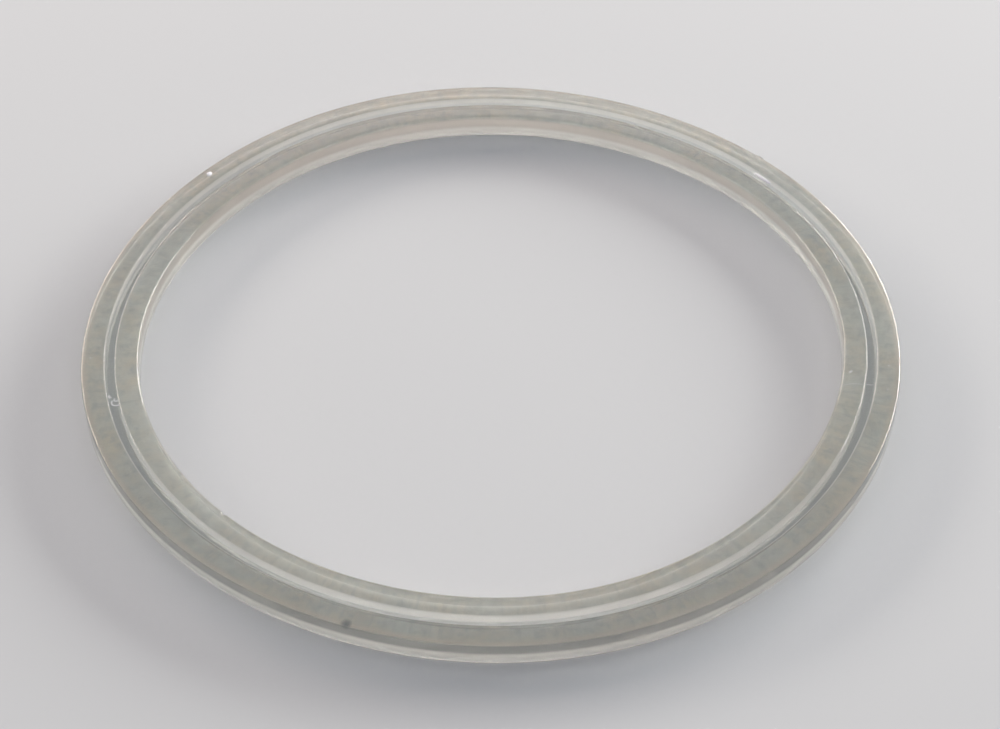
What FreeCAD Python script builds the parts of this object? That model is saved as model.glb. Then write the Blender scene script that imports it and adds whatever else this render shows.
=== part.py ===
"""Flat ring gasket, moulded in one piece from translucent silicone rubber.

The ring lies flat on its underside with +Z up. Its origin is on its axis, level with the underside.
Lengths are in millimetres and angles in degrees. Angles round the ring are measured from +X towards +Y.
"""

import FreeCAD, Part
import math
import os

from FreeCAD import Vector

# Driving dimensions of the ring
inner_diameter = 68.8
band_width = 5.6
thickness = 2.4
upper_edge_radius = 0.3
lower_edge_bevel = 0.15

# Sealing groove, halfway across the upper face, its walls leaning apart for release from the mould
groove_width = 0.95
groove_depth = 1.25
groove_draft = 3.0
groove_lip_bevel = 0.12
groove_root_bevel = 0.1

# Torn-off sprue of the mould, a small nub on the outer rim just under the upper face
nub_bearing = 44.0
nub_radius = 0.7
nub_stand_out = 0.2
nub_height = 0.8

# Values that follow from the driving dimensions
inner_radius = inner_diameter / 2
outer_radius = inner_radius + band_width
groove_mid_radius = inner_radius + band_width / 2
groove_floor_height = thickness - groove_depth
groove_half_mouth = groove_width / 2
groove_half_floor = groove_half_mouth - groove_depth * math.tan(math.radians(groove_draft))

axis_foot = Vector(0, 0, 0)
up = Vector(0, 0, 1)


def softened_corner(before, corner, after, finish, size):
    """Edge that takes off the corner: an arc of this radius, or a bevel that starts this far from it."""
    to_before = (before - corner).normalize()
    to_after = (after - corner).normalize()
    if finish == "bevel":
        return Part.LineSegment(corner + to_before * size, corner + to_after * size).toShape()
    half_angle = to_before.getAngle(to_after) / 2
    setback = size / math.tan(half_angle)
    bisector = (to_before + to_after).normalize()
    arc_middle = corner + bisector * (size / math.sin(half_angle) - size)
    return Part.Arc(corner + to_before * setback, arc_middle, corner + to_after * setback).toShape()


def make_section():
    """The ring's section in the XZ plane, anticlockwise from the lower edge of the bore."""
    corners = [
        (inner_radius, 0, "bevel", lower_edge_bevel),
        (outer_radius, 0, "bevel", lower_edge_bevel),
        (outer_radius, thickness, "round", upper_edge_radius),
        (groove_mid_radius + groove_half_mouth, thickness, "bevel", groove_lip_bevel),
        (groove_mid_radius + groove_half_floor, groove_floor_height, "bevel", groove_root_bevel),
        (groove_mid_radius - groove_half_floor, groove_floor_height, "bevel", groove_root_bevel),
        (groove_mid_radius - groove_half_mouth, thickness, "bevel", groove_lip_bevel),
        (inner_radius, thickness, "round", upper_edge_radius),
    ]
    points = [Vector(radius, 0, height) for radius, height, finish, size in corners]
    softened = []
    for i, (radius, height, finish, size) in enumerate(corners):
        after = points[(i + 1) % len(points)]
        softened.append(softened_corner(points[i - 1], points[i], after, finish, size))
    outline = []
    for edge, next_edge in zip(softened, softened[1:] + softened[:1]):
        outline.append(edge)
        outline.append(Part.LineSegment(edge.lastVertex().Point, next_edge.firstVertex().Point).toShape())
    return Part.Face(Part.Wire(outline))


def make_nub():
    """The sprue's torn end: an upright round stub sunk in the rim, so that only its front stands out."""
    distance_from_axis = outer_radius + nub_stand_out - nub_radius
    nub_top = thickness - upper_edge_radius / 2
    stub = Part.makeCylinder(nub_radius, nub_height, Vector(distance_from_axis, 0, nub_top - nub_height))
    stub.rotate(axis_foot, up, nub_bearing)
    return stub


ring = make_section().revolve(axis_foot, up, 360)
gasket_ring = ring.fuse(make_nub()).removeSplitter()

os.makedirs("parts", exist_ok=True)
gasket_ring.exportStep("parts/gasket_ring.step")
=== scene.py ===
"""Flat silicone ring gasket on a pale studio floor, laid out as a Blender add-on and run as a script."""

import math

import bmesh
import bpy
from bpy.props import FloatProperty, FloatVectorProperty, IntProperty, PointerProperty, StringProperty
from mathutils import Matrix, Vector


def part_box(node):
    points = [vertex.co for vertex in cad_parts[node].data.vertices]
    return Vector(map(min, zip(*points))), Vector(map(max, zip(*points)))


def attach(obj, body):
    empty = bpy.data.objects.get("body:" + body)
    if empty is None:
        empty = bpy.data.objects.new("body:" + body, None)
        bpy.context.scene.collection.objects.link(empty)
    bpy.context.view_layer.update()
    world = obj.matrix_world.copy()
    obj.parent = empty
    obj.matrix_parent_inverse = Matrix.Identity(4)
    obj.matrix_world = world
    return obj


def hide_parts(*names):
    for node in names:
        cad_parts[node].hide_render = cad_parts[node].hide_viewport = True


bl_info = {
    "name": "Grooved Ring Gasket",
    "version": (1, 0, 0),
    "blender": (4, 5, 0),
    "location": "3D View > Sidebar > Gasket",
    "description": "Builds a moulded silicone ring gasket with a groove, its finish and a studio",
    "category": "Object",
}

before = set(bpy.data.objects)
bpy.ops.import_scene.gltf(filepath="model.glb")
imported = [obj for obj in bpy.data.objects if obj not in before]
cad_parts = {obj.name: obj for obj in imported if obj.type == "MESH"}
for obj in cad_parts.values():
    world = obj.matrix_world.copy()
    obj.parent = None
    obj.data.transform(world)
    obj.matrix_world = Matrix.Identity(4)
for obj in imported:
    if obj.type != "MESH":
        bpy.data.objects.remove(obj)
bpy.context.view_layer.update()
NODE = "gasket_ring"
LOW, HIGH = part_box(NODE)
MM = 0.001

# Milkiness and stain of the rubber: colour, and density per metre
MILK_COLOUR = (0.965, 0.97, 0.96, 1.0)
MILK_DENSITY = 350.0
STAIN_COLOUR = (0.66, 0.67, 0.63, 1.0)
STAIN_DENSITY = 75.0

# Point attributes that the finish reads
ACROSS = "across"
MARK = "mark"

# Where the silicone's colours give way to each other: across the band, in mm from its middle,
# and then up from the underside, in metres
BORE_TO_RIM = (-1.0, 1.0)
INNER_TO_OUTER_WALL = (-0.2, 0.2)
# Painted glow along the outer edge of the upper face
PAINTED_EDGE_GLOW = (1.95, 2.7)
SIDES = (2.72, 2.79)
GROOVE_WALLS = (0.64, 0.56)
# Painted shade on the groove's floor
GROOVE_FLOOR_SHADE = (0.4, 0.36)
# Height on rim and bore with painted glow below it and painted shade above it
SHADE_TO_GLOW_HEIGHT = (0.9 * MM, 1.4 * MM)
# Heights from which the groove's inner and outer walls carry painted glow
INNER_WALL_GLOW_FROM = (1.55 * MM, 1.8 * MM)
OUTER_WALL_GLOW_FROM = (1.75 * MM, 2.05 * MM)

# Air left between the ring and the floor, so that light still turns back at the ring's underside
FLOOR_GAP = 0.03 * MM
FLOOR_HALF_WIDTH = 3.0

# The ring is spun as one sector that is then repeated, which is much quicker than one long spin
SECTORS = 24
SECTION_EDGE = 0.45 * MM
WELD_DISTANCE = 0.002 * MM

CURL_STEPS = 24

# The surface round a mark is divided this often, down to the finest edge, and out past the mark's reach
MARK_DIVISIONS = 2
FINEST_EDGE = 0.09 * MM
MARGIN = 1.5


def linear(hex_colour):
    """Scene-linear red, green, blue and alpha of an sRGB hex colour."""
    values = [int(hex_colour.lstrip("#")[i : i + 2], 16) / 255 for i in (0, 2, 4)]
    return [v / 12.92 if v <= 0.04045 else ((v + 0.055) / 1.055) ** 2.4 for v in values] + [1.0]


def length(name, description, default):
    """A length in metres that the user can change."""
    return FloatProperty(
        name=name,
        description=description,
        default=default,
        min=0,
        precision=5,
        unit="LENGTH",
        subtype="DISTANCE",
    )


def colour(name, description, default):
    """An sRGB hex colour that the user can change."""
    return StringProperty(name=name, description=description, default=default)


class GasketSizes(bpy.types.PropertyGroup):
    """Sizes of the moulded ring."""

    inner_radius: length("Inner radius", "Radius of the ring's bore", 34.4 * MM)
    outer_radius: length("Outer radius", "Radius of the ring's rim", 40.0 * MM)
    thickness: length("Thickness", "Height of the ring", HIGH.z - LOW.z)
    upper_rounding: length("Upper rounding", "Radius of the two upper outer edges", 0.3 * MM)
    lower_rounding: length("Lower rounding", "Radius of the two lower edges", 0.15 * MM)
    groove_width: length("Groove width", "Width of the groove's mouth between its lips", 0.95 * MM)
    groove_depth: length("Groove depth", "Depth of the groove below the upper face", 1.25 * MM)
    groove_draft: FloatProperty(
        name="Groove draft",
        description="Lean of each groove wall for release from the mould",
        default=math.radians(3),
        subtype="ANGLE",
    )
    lip_rounding: length("Lip rounding", "Radius of the groove's two lips", 0.14 * MM)
    root_rounding: length("Root rounding", "Radius at the groove's floor", 0.12 * MM)
    steps: IntProperty(
        name="Steps",
        description="Divisions round the ring, in whole sectors of 15 degrees",
        default=720,
        min=96,
        max=1440,
    )


class SiliconeFinish(bpy.types.PropertyGroup):
    """Colours of the silicone and of what lies on it, with painted glow and painted shade among them."""

    body: colour("Body", "Milky silicone", "#E6EAE5")
    haze: colour("Haze", "Warmer clouds in the silicone", "#ECE6D8")
    mottle: colour("Mottle", "Fine greyer mottling of its skin", "#CDD2D0")
    # Painted shade in the groove: its floor and the lower parts of its walls
    groove: colour("Groove", "Floor and lower walls of the groove", "#D9DDDE")
    # Painted glow and painted highlights: the groove's lips and upper walls, the lower halves of rim and
    # bore, and bright marks
    painted_glow: colour("Pale", "Groove's walls and lips, and the lower half of rim and bore", "#FFFFFC")
    # Painted shade on the upper halves of the rim and of the bore, lighter on the bore
    wall: colour("Wall", "Upper half of the outer rim", "#8E9090")
    bore: colour("Bore", "Upper half of the bore", "#D8D1CA")
    # Painted glow along the outer edge of the upper face
    rim: colour("Rim", "Outer edge of the upper face", "#EBE3D8")
    shade: colour("Shade", "Smudges and the pit in the rim", "#60666E")
    # Also the colour of the white sliver of painted highlight in the groove
    dust: colour("Dust", "Specks and fibres on the ring", "#FBFBFF")
    soiled: colour("Soiled", "Greyer grain in the dust", "#D9D9DE")


class StudioSettings(bpy.types.PropertyGroup):
    """Floor, light and camera."""

    floor: colour("Floor", "Pale floor", "#C9CBCD")
    camera_place: FloatVectorProperty(
        name="Camera place",
        description="Where the camera stands",
        default=(0.79 * MM, -165.488 * MM, 153.723 * MM),
        unit="LENGTH",
    )
    camera_tilt: FloatProperty(
        name="Camera tilt",
        description="Angle of the view above the horizon",
        default=math.radians(43.306),
        subtype="ANGLE",
    )
    camera_roll: FloatProperty(
        name="Camera roll", description="Turn of the camera about its view", default=-0.00185, subtype="ANGLE"
    )
    lens: FloatProperty(name="Lens", description="Focal length of the lens in millimetres", default=82.0)


def add_node(tree, kind, links=None, **settings):
    """Adds a node with its settings and sockets; links maps an input socket to the output that feeds it."""
    node = tree.nodes.new(kind)
    for key, value in settings.items():
        if key == "inputs":
            for socket, number in value.items():
                node.inputs[socket].default_value = number
        else:
            setattr(node, key, value)
    for socket, output in (links or {}).items():
        tree.links.new(output, node.inputs[socket])
    return node


def new_material(name):
    """An empty node material and its tree."""
    material = bpy.data.materials.new(name)
    material.use_nodes = True
    material.node_tree.nodes.clear()
    return material, material.node_tree


def lay_over(tree, under, over, value, low, high):
    """Lays a colour over another where a value has gone smoothly from low to high.

    With low above high it lies where the value is small. A colour is a hex value or the output of a node.
    """
    amount = add_node(
        tree,
        "ShaderNodeMapRange",
        interpolation_type="SMOOTHSTEP",
        links={"Value": value},
        inputs={"From Min": low, "From Max": high},
    )
    tones = {"A": under, "B": over}
    linked = {socket: tone for socket, tone in tones.items() if not isinstance(tone, str)}
    fixed = {socket: linear(tone) for socket, tone in tones.items() if isinstance(tone, str)}
    mix = add_node(
        tree,
        "ShaderNodeMix",
        data_type="RGBA",
        links={"Factor": amount.outputs["Result"], **linked},
        inputs=fixed,
    )
    return mix.outputs["Result"]


def silicone_moulded(finish):
    """Translucent silicone rubber from a polished mould: milky, softly glossy, light glows through it; its
    colour holds painted glow and shade.
    """
    material, tree = new_material("silicone_moulded_translucent")
    place = add_node(tree, "ShaderNodeTexCoord").outputs["Object"]
    height = add_node(tree, "ShaderNodeSeparateXYZ", links={"Vector": place}).outputs["Z"]
    across = add_node(tree, "ShaderNodeAttribute", attribute_name=ACROSS).outputs["Fac"]
    off_middle = add_node(tree, "ShaderNodeMath", operation="ABSOLUTE", links={0: across}).outputs["Value"]
    mark = add_node(tree, "ShaderNodeAttribute", attribute_name=MARK).outputs["Fac"]

    # Clouds of filler in the rubber, 2 to 6 mm across
    clouds = add_node(
        tree,
        "ShaderNodeTexNoise",
        links={"Vector": place},
        inputs={"Scale": 170.0, "Detail": 3.0, "Roughness": 0.65},
    )
    tone = lay_over(tree, finish.body, finish.haze, clouds.outputs["Fac"], 0.35, 0.7)

    # Mottling of the skin, 0.5 to 1.5 mm across
    mottle = add_node(
        tree,
        "ShaderNodeTexNoise",
        links={"Vector": place},
        inputs={"Scale": 800.0, "Detail": 4.0, "Roughness": 0.7},
    )
    tone = lay_over(tree, tone, finish.mottle, mottle.outputs["Fac"], 0.4, 0.8)

    # Wiped streaks across the band, 0.5 mm wide: the same all along each line from the ring's axis
    flat = add_node(
        tree, "ShaderNodeVectorMath", operation="MULTIPLY", links={0: place}, inputs={1: (1.0, 1.0, 0.0)}
    )
    bearing = add_node(tree, "ShaderNodeVectorMath", operation="NORMALIZE", links={0: flat.outputs["Vector"]})
    streaks = add_node(
        tree,
        "ShaderNodeTexNoise",
        links={"Vector": bearing.outputs["Vector"]},
        inputs={"Scale": 70.0, "Detail": 2.0, "Roughness": 0.6},
    )
    tone = lay_over(tree, tone, finish.mottle, streaks.outputs["Fac"], 0.45, 0.95)

    # Painted glow: a warm outer edge of the upper face, 0.8 mm wide
    tone = lay_over(tree, tone, finish.rim, across, *PAINTED_EDGE_GLOW)

    # Rim and bore: painted shade on their upper halves, darker on the rim, and painted glow on their lower
    # halves
    upper_side_shade = lay_over(tree, finish.bore, finish.wall, across, *BORE_TO_RIM)
    side = lay_over(tree, finish.painted_glow, upper_side_shade, height, *SHADE_TO_GLOW_HEIGHT)
    tone = lay_over(tree, tone, side, off_middle, *SIDES)

    # Groove: painted shade on its floor and low on its walls, painted glow on its lips and upper walls,
    # further down the inner wall
    inner_wall_shade_and_glow = lay_over(tree, finish.groove, finish.painted_glow, height, *INNER_WALL_GLOW_FROM)
    outer_wall_shade_and_glow = lay_over(tree, finish.groove, finish.painted_glow, height, *OUTER_WALL_GLOW_FROM)
    groove_wall_shade_and_glow = lay_over(tree, inner_wall_shade_and_glow, outer_wall_shade_and_glow, across, *INNER_TO_OUTER_WALL)
    tone = lay_over(tree, tone, groove_wall_shade_and_glow, off_middle, *GROOVE_WALLS)
    tone = lay_over(tree, tone, finish.groove, off_middle, *GROOVE_FLOOR_SHADE)

    # Marks: painted glow and highlights by the sprue and along the bore's upper edge, and dark smudges and
    # spots
    tone = lay_over(tree, tone, finish.painted_glow, mark, 0.0, 1.0)
    tone = lay_over(tree, tone, finish.shade, mark, 0.0, -1.0)

    # Fine skin of the mould, drawn 0.7 mm coarse so that it shows
    skin = add_node(
        tree,
        "ShaderNodeTexNoise",
        links={"Vector": place},
        inputs={"Scale": 1400.0, "Detail": 2.0, "Roughness": 0.6},
    )
    relief = add_node(
        tree,
        "ShaderNodeBump",
        links={"Height": skin.outputs["Fac"]},
        inputs={"Strength": 0.2, "Distance": 0.05 * MM},
    )
    surface = add_node(
        tree,
        "ShaderNodeBsdfPrincipled",
        links={"Base Color": tone, "Normal": relief.outputs["Normal"]},
        inputs={"Roughness": 0.12, "IOR": 1.41, "Transmission Weight": 1.0},
    )

    # Fine filler scatters the light inside, and the rubber takes a little of it
    milk = add_node(
        tree,
        "ShaderNodeVolumeScatter",
        inputs={"Color": MILK_COLOUR, "Density": MILK_DENSITY, "Anisotropy": 0.0},
    )
    stain = add_node(
        tree, "ShaderNodeVolumeAbsorption", inputs={"Color": STAIN_COLOUR, "Density": STAIN_DENSITY}
    )
    inside = add_node(
        tree, "ShaderNodeAddShader", links={0: milk.outputs["Volume"], 1: stain.outputs["Volume"]}
    )
    add_node(
        tree,
        "ShaderNodeOutputMaterial",
        links={"Surface": surface.outputs["BSDF"], "Volume": inside.outputs["Shader"]},
    )
    return material


def dust_and_glint_matt(finish):
    """Settled dust and short fibres, and the white sliver of painted highlight: matt and white, a little
    uneven.
    """
    material, tree = new_material("dust_and_glint_white")
    place = add_node(tree, "ShaderNodeTexCoord").outputs["Object"]
    grain = add_node(
        tree, "ShaderNodeTexNoise", links={"Vector": place}, inputs={"Scale": 9000.0, "Detail": 2.0}
    )
    tone = lay_over(tree, finish.soiled, finish.dust, grain.outputs["Fac"], 0.3, 0.7)
    surface = add_node(
        tree, "ShaderNodeBsdfPrincipled", links={"Base Color": tone}, inputs={"Roughness": 0.5, "IOR": 1.5}
    )
    add_node(tree, "ShaderNodeOutputMaterial", links={"Surface": surface.outputs["BSDF"]})
    return material


def round_corners(bm, corners, size, segments):
    """Rounds these corners of the flat section."""
    bmesh.ops.bevel(
        bm,
        geom=corners,
        offset=size,
        offset_type="OFFSET",
        segments=segments,
        profile=0.5,
        affect="VERTICES",
        material=-1,
    )


def make_ring(sizes):
    """The ring: its section's eight corners are rounded, and the section is spun about Z."""
    middle = (sizes.inner_radius + sizes.outer_radius) / 2
    half_mouth = sizes.groove_width / 2
    half_floor = half_mouth - sizes.groove_depth * math.tan(sizes.groove_draft)
    floor = sizes.thickness - sizes.groove_depth
    corners = [
        (sizes.inner_radius, 0, "lower"),
        (sizes.outer_radius, 0, "lower"),
        (sizes.outer_radius, sizes.thickness, "upper"),
        (middle + half_mouth, sizes.thickness, "lip"),
        (middle + half_floor, floor, "root"),
        (middle - half_floor, floor, "root"),
        (middle - half_mouth, sizes.thickness, "lip"),
        (sizes.inner_radius, sizes.thickness, "upper"),
    ]
    softness = {
        "lower": (sizes.lower_rounding, 3),
        "upper": (sizes.upper_rounding, 6),
        "lip": (sizes.lip_rounding, 4),
        "root": (sizes.root_rounding, 3),
    }
    bm = bmesh.new()
    points = [bm.verts.new((radius, 0, height)) for radius, height, kind in corners]
    section = bm.faces.new(points)
    groups = {kind: [p for p, corner in zip(points, corners) if corner[2] == kind] for kind in softness}
    for kind, (size, segments) in softness.items():
        round_corners(bm, groups[kind], size, segments)
    long_edges = [e for e in bm.edges if e.calc_length() > 0.5 * MM]
    for edge in long_edges:
        bmesh.ops.subdivide_edges(bm, edges=[edge], cuts=int(edge.calc_length() / SECTION_EDGE))
    bmesh.ops.delete(bm, geom=list(bm.faces), context="FACES_ONLY")
    turning = {"cent": (0, 0, 0), "axis": (0, 0, 1)}
    sector = 2 * math.pi / SECTORS
    bmesh.ops.spin(
        bm,
        geom=list(bm.verts) + list(bm.edges),
        angle=sector,
        steps=sizes.steps // SECTORS,
        use_merge=False,
        **turning,
    )
    bmesh.ops.spin(
        bm,
        geom=list(bm.verts) + list(bm.edges) + list(bm.faces),
        angle=sector * (SECTORS - 1),
        steps=SECTORS - 1,
        use_duplicate=True,
        **turning,
    )
    bmesh.ops.remove_doubles(bm, verts=bm.verts, dist=WELD_DISTANCE)
    bmesh.ops.recalc_face_normals(bm, faces=bm.faces)
    return bm


def on_circle(bearing, radius, height):
    """A place on the truly round ring, in metres, from its bearing in degrees and radius and height in mm."""
    angle = math.radians(bearing)
    return Vector((radius * math.cos(angle), radius * math.sin(angle), height)) * MM


def nearness(point, place, reach):
    """1 at a place on the ring, falling to 0 at the reach round it; below 0 beyond."""
    bearing, radius, height = place
    here = math.hypot(point.x, point.y)
    turn = (math.atan2(point.y, point.x) - math.radians(bearing) + math.pi) % (2 * math.pi) - math.pi
    parts = (turn * here / MM, here / MM - radius, point.z / MM - height)
    return 1 - sum((part / size) ** 2 for part, size in zip(parts, reach))


def points_near(bm, place, reach):
    """The points within reach of a place, each with its nearness."""
    middle = on_circle(*place)
    span = sum(reach) * MM
    found = {}
    for v in bm.verts:
        if abs(v.co.x - middle.x) < span and abs(v.co.y - middle.y) < span:
            close = nearness(v.co, place, reach)
            if close > 0:
                found[v] = close
    return found


def dab(bm, place, reach, push):
    """Pushes the surface near a place outwards and upwards, after dividing it more finely there."""
    wide = [size * MARGIN for size in reach]
    for turn in range(MARK_DIVISIONS):
        near = points_near(bm, place, wide)
        fan = dict.fromkeys(e for v in near for e in v.link_edges)
        inner = [e for e in fan if e.verts[0] in near and e.verts[1] in near]
        edges = [e for e in inner if e.calc_length() > FINEST_EDGE]
        bmesh.ops.subdivide_edges(bm, edges=edges, cuts=1, use_grid_fill=True)
    outward, upward = push
    for v, close in points_near(bm, place, reach).items():
        out = Vector((v.co.x, v.co.y, 0)).normalized()
        v.co += (out * outward + Vector((0, 0, upward))) * MM * close * close


# Marks on the ring: bearing in degrees, radius and height in mm;
# reach along, across and up in mm; push outwards and upwards in mm
DABS = (
    # Torn sprue on the outer rim, with a ragged corner
    ((44.0, 40.0, 1.85), (0.65, 0.8, 0.66), (0.42, 0.0)),
    ((43.5, 40.1, 2.05), (0.28, 0.4, 0.22), (0.08, 0.02)),
    ((44.4, 40.1, 1.6), (0.26, 0.4, 0.24), (0.06, -0.02)),
    # Fold in the groove's lip beside the sprue
    ((40.1, 37.68, 2.36), (1.1, 0.3, 0.4), (-0.15, 0.0)),
    # Pit in the outer upper edge
    ((-108.5, 39.75, 2.35), (0.6, 0.65, 0.6), (-0.05, -0.14)),
    # Nick in the inner upper edge
    ((-134.8, 34.5, 2.3), (0.4, 0.45, 0.5), (0.12, -0.06)),
)

# Places with strength above 0 carry painted glow and painted highlights; those below 0 are dark smudges and
# spots
# Pale and dark places: bearing in degrees, radius and height in mm;
# reach along, across and up in mm; strength
PATCHES = (
    # Painted highlight and glow: the glint in the groove beside the sprue, and round the sprue
    ((40.1, 37.6, 2.2), (1.3, 0.5, 0.9), 1.0),
    ((45.2, 39.7, 2.3), (1.3, 0.7, 0.7), 0.8),
    ((-108.5, 39.75, 2.35), (0.6, 0.66, 0.6), -0.9),
    # Painted highlight along the bore's upper edge beside the nick
    ((-139.0, 34.7, 2.4), (4.0, 0.5, 0.5), 0.5),
    ((-9.9, 35.2, 2.4), (0.55, 0.35, 0.3), -0.15),
    ((175.2, 35.8, 2.4), (0.7, 0.6, 0.3), -0.2),
    ((-172.5, 35.3, 2.4), (0.8, 0.5, 0.3), -0.14),
    ((-150.0, 38.9, 2.4), (1.0, 0.5, 0.4), -0.2),
    ((-147.0, 38.6, 2.4), (0.6, 0.4, 0.4), -0.16),
)

# How the soft ring lies: waves in a turn and their cosine and sine parts in mm,
# first of its middle line and then of half its width
WANDER = ((3, -0.033, -0.032), (4, 0.088, 0.128), (5, -0.007, 0.011))
WIDENING = ((1, -0.021, 0.004), (2, -0.040, -0.067), (3, -0.001, -0.043))


def waves(terms, angle):
    """Sum of waves round the ring, in metres."""
    return MM * sum(c * math.cos(n * angle) + s * math.sin(n * angle) for n, c, s in terms)


def relax(bm, sizes):
    """The soft ring doesn't lie truly round, and its band isn't quite even."""
    middle = (sizes.inner_radius + sizes.outer_radius) / 2
    half_band = (sizes.outer_radius - sizes.inner_radius) / 2
    for v in bm.verts:
        radius = math.hypot(v.co.x, v.co.y)
        angle = math.atan2(v.co.y, v.co.x)
        new = radius + waves(WANDER, angle) + waves(WIDENING, angle) * (radius - middle) / half_band
        v.co.x *= new / radius
        v.co.y *= new / radius


def note_across(bm, sizes):
    """Writes each point's place across the band, in mm from its middle, for the finish to follow."""
    layer = bm.verts.layers.float.new(ACROSS)
    middle = (sizes.inner_radius + sizes.outer_radius) / 2
    for v in bm.verts:
        v[layer] = (math.hypot(v.co.x, v.co.y) - middle) / MM


def note_marks(bm):
    """Writes how much painted glow, above 0, or darkness, below 0, each point carries."""
    layer = bm.verts.layers.float.new(MARK)
    for place, reach, strength in PATCHES:
        for v, close in points_near(bm, place, reach).items():
            v[layer] += strength * close


def finish_mesh(bm, name, material, smooth=True):
    """Turns the bmesh into an object at the origin."""
    mesh = bpy.data.meshes.new(name)
    for face in bm.faces:
        face.smooth = smooth
    bm.to_mesh(mesh)
    bm.free()
    mesh.materials.append(material)
    piece = bpy.data.objects.new(name, mesh)
    bpy.context.scene.collection.objects.link(piece)
    return piece


class GASKET_OT_ring(bpy.types.Operator):
    """Moulds the ring with its groove"""

    bl_idname = "gasket.ring"
    bl_label = "Ring"

    def execute(self, context):
        scene = context.scene
        material = silicone_moulded(scene.silicone_finish)
        bm = make_ring(scene.gasket_sizes)
        note_across(bm, scene.gasket_sizes)
        for place, reach, push in DABS:
            dab(bm, place, reach, push)
        note_marks(bm)
        relax(bm, scene.gasket_sizes)
        ring = finish_mesh(bm, "gasket", material)
        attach(ring, "root")
        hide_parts(NODE)
        return {"FINISHED"}


def on_ring(bearing, radius, height):
    """Where a place on the ring is, with the ring's wander in it, in metres."""
    angle = math.radians(bearing)
    here = radius * MM + waves(WANDER, angle)
    return Vector((here * math.cos(angle), here * math.sin(angle), height * MM))


# Specks: bearing in degrees, radius and height in mm;
# length, width and thickness in mm; turn in degrees
SPECKS_AND_GLINT = (
    ((140.6, 39.1, 2.32), (0.68, 0.9, 0.28), 0),
    ((-165.6, 37.6, 2.4), (0.16, 0.12, 0.08), 0),
    ((-174.3, 39.0, 2.4), (0.17, 0.17, 0.1), 0),
    ((-159.4, 39.5, 2.38), (0.13, 0.1, 0.06), 60),
    ((-9.9, 35.2, 2.4), (0.46, 0.17, 0.08), 38),
    ((-7.7, 38.8, 2.4), (0.17, 0.15, 0.08), 0),
    ((-12.7, 38.9, 2.4), (0.2, 0.1, 0.05), 15),
    ((-12.2, 37.15, 2.38), (0.66, 0.07, 0.05), -8),
    # A white sliver in the groove beside the sprue: a painted highlight standing in for the glint there
    ((39.9, 37.43, 2.2), (2.6, 0.42, 0.38), 130),
)

# Curled fibres in the groove: bearing in degrees, radius and height in mm;
# radius of the curl and of the fibre in mm; start and sweep in degrees
CURLS = (
    ((-164.2, 36.98, 2.4), 0.43, 0.055, 150, 175),
    ((-164.75, 36.93, 2.41), 0.2, 0.05, 120, 230),
    ((-165.7, 37.4, 2.41), 0.15, 0.05, 120, 200),
    ((-16.5, 36.4, 2.4), 2.6, 0.016, 70, 55),
)


def add_flat_piece(bm, place, sizes, turn):
    """A flattened speck, half sunk in the surface; the white sliver of painted highlight is made the same
    way.
    """
    form = Matrix.Translation(on_ring(*place)) @ Matrix.Rotation(math.radians(turn), 4, "Z")
    form = form @ Matrix.Diagonal([size / 2 * MM for size in sizes] + [1])
    bmesh.ops.create_icosphere(bm, subdivisions=2, radius=1.0, matrix=form)


def add_curl(bm, place, radius, thickness, start, sweep):
    """A curled fibre, a ring section spun through part of a turn."""
    centre = on_ring(*place)
    first = Matrix.Rotation(math.radians(start), 4, "Z")
    out = Matrix.Translation((radius * MM, 0, 0))
    stand = Matrix.Translation(centre) @ first @ out @ Matrix.Rotation(math.pi / 2, 4, "X")
    made = bmesh.ops.create_circle(bm, segments=8, radius=thickness * MM, matrix=stand)
    edges = {e for v in made["verts"] for e in v.link_edges}
    bmesh.ops.spin(
        bm,
        geom=made["verts"] + list(edges),
        cent=centre,
        axis=(0, 0, 1),
        angle=math.radians(sweep),
        steps=CURL_STEPS,
        use_merge=False,
    )


class GASKET_OT_dust(bpy.types.Operator):
    """Settles specks of dust and curled fibres on the ring, and a white sliver of painted highlight in the
    groove
    """

    bl_idname = "gasket.dust"
    bl_label = "Dust"

    def execute(self, context):
        material = dust_and_glint_matt(context.scene.silicone_finish)
        # The specks also hold the white sliver of painted highlight in the groove
        for name, rows, make in (("specks", SPECKS_AND_GLINT, add_flat_piece), ("fibres", CURLS, add_curl)):
            bm = bmesh.new()
            for row in rows:
                make(bm, *row)
            ends = [e for e in bm.edges if e.is_boundary]
            bmesh.ops.holes_fill(bm, edges=ends, sides=8)
            bmesh.ops.recalc_face_normals(bm, faces=bm.faces)
            piece = finish_mesh(bm, name, material)
            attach(piece, "root")
        return {"FINISHED"}


# Lamps, all aimed at the ring's middle: place, width and height in metres, power in watts, tint.
# The two strips are low and far back, and draw bright lines on the lips and edges that face them.
SOFTBOXES = {
    "strip_right": ((0.69, 0.58, 0.17), (0.9, 0.2), 17.0, "#FFFDF8"),
    "strip_left": ((-0.69, 0.58, 0.22), (0.9, 0.14), 7.0, "#FFF3E8"),
    "back_low": ((-0.1, 0.8, 0.42), (1.2, 0.34), 2.6, "#FFEAE2"),
    "overhead": ((0, 0.15, 1.2), (1.8, 1.2), 3.5, "#FBFCFF"),
}
SKY_TINT = "#F6F8FF"
SKY_STRENGTH = 0.32


def add_softbox(name, place, size, power, tint):
    """A large soft lamp at a place, turned to the ring's middle."""
    lamp = bpy.data.lights.new(name, "AREA")
    lamp.shape = "RECTANGLE"
    lamp.size, lamp.size_y = size
    lamp.energy = power
    lamp.color = linear(tint)[:3]
    box = bpy.data.objects.new(name, lamp)
    bpy.context.scene.collection.objects.link(box)
    box.location = place
    box.rotation_euler = (-Vector(place)).to_track_quat("-Z", "Y").to_euler()


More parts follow.
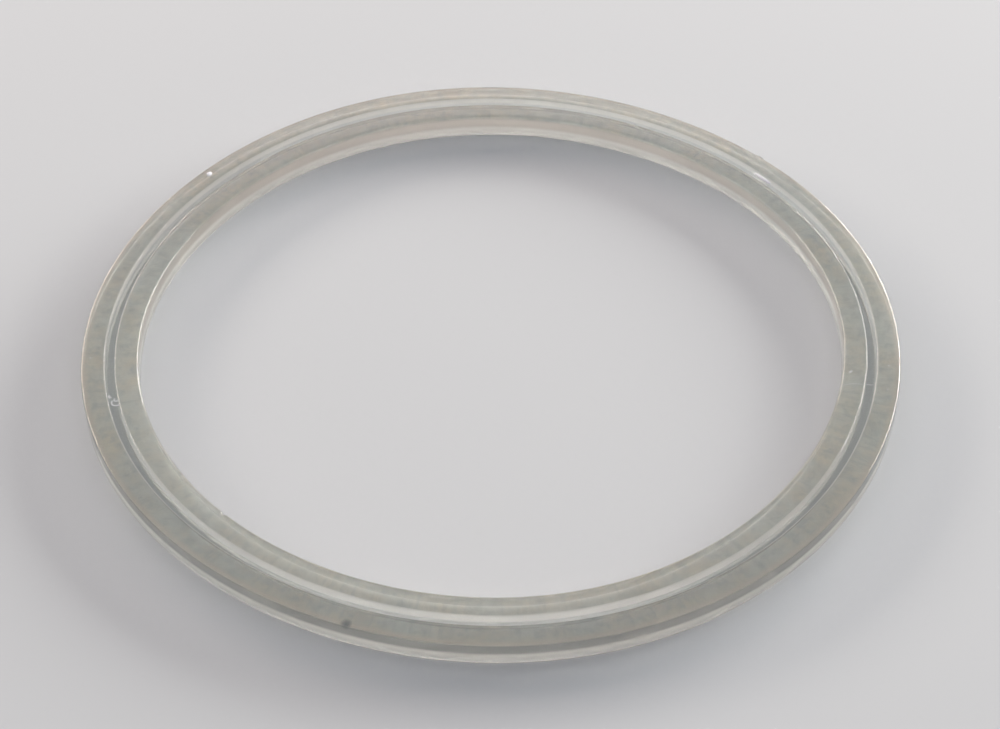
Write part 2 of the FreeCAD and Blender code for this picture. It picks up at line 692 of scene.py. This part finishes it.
class GASKET_OT_studio(bpy.types.Operator):
    """Lays the floor, and sets the lights and the camera"""

    bl_idname = "gasket.studio"
    bl_label = "Studio"

    def execute(self, context):
        scene = context.scene
        studio = scene.studio_settings
        material, tree = new_material("painted_board_matt")
        surface = add_node(
            tree, "ShaderNodeBsdfPrincipled", inputs={"Base Color": linear(studio.floor), "Roughness": 0.8}
        )
        add_node(tree, "ShaderNodeOutputMaterial", links={"Surface": surface.outputs["BSDF"]})
        bm = bmesh.new()
        bmesh.ops.create_grid(bm, x_segments=1, y_segments=1, size=FLOOR_HALF_WIDTH)
        bmesh.ops.translate(bm, verts=bm.verts, vec=(0, 0, -FLOOR_GAP))
        finish_mesh(bm, "floor", material, smooth=False)

        world = bpy.data.worlds.new("studio")
        world.use_nodes = True
        sky = world.node_tree.nodes["Background"]
        sky.inputs["Color"].default_value = linear(SKY_TINT)
        sky.inputs["Strength"].default_value = SKY_STRENGTH
        scene.world = world
        for name, settings in SOFTBOXES.items():
            add_softbox(name, *settings)

        lens = bpy.data.cameras.new("camera")
        lens.lens = studio.lens
        lens.sensor_width = 36.0
        lens.clip_start = 0.005
        camera = bpy.data.objects.new("camera", lens)
        bpy.context.scene.collection.objects.link(camera)
        tilt = Matrix.Rotation(math.pi / 2 - studio.camera_tilt, 4, "X")
        roll = Matrix.Rotation(studio.camera_roll, 4, "Z")
        camera.matrix_world = Matrix.Translation(studio.camera_place) @ tilt @ roll
        scene.camera = camera

        # Light runs a long way inside a translucent body before it leaves
        scene.cycles.max_bounces = 24
        scene.cycles.glossy_bounces = 12
        scene.cycles.transmission_bounces = 12
        scene.cycles.volume_bounces = 16
        scene.cycles.blur_glossy = 0.0
        scene.view_settings.view_transform = "Standard"
        return {"FINISHED"}


class GASKET_PT_sidebar(bpy.types.Panel):
    """Lists the gasket's operators and settings"""

    bl_label = "Gasket"
    bl_idname = "GASKET_PT_sidebar"
    bl_space_type = "VIEW_3D"
    bl_region_type = "UI"
    bl_category = "Gasket"

    def draw(self, context):
        for group in ("gasket_sizes", "silicone_finish", "studio_settings"):
            settings = getattr(context.scene, group)
            box = self.layout.box()
            for name in settings.__annotations__:
                box.prop(settings, name)
        for operator in OPERATORS:
            self.layout.operator(operator.bl_idname)


GROUPS = {
    "gasket_sizes": GasketSizes,
    "silicone_finish": SiliconeFinish,
    "studio_settings": StudioSettings,
}
OPERATORS = (GASKET_OT_ring, GASKET_OT_dust, GASKET_OT_studio)


def register():
    for name, group in GROUPS.items():
        bpy.utils.register_class(group)
        setattr(bpy.types.Scene, name, PointerProperty(type=group))
    for kind in OPERATORS + (GASKET_PT_sidebar,):
        bpy.utils.register_class(kind)


def unregister():
    for kind in (GASKET_PT_sidebar,) + OPERATORS:
        bpy.utils.unregister_class(kind)
    for name, group in GROUPS.items():
        delattr(bpy.types.Scene, name)
        bpy.utils.unregister_class(group)


def main():
    register()
    bpy.ops.gasket.ring()
    bpy.ops.gasket.dust()
    bpy.ops.gasket.studio()


if __name__ == "__main__":
    main()
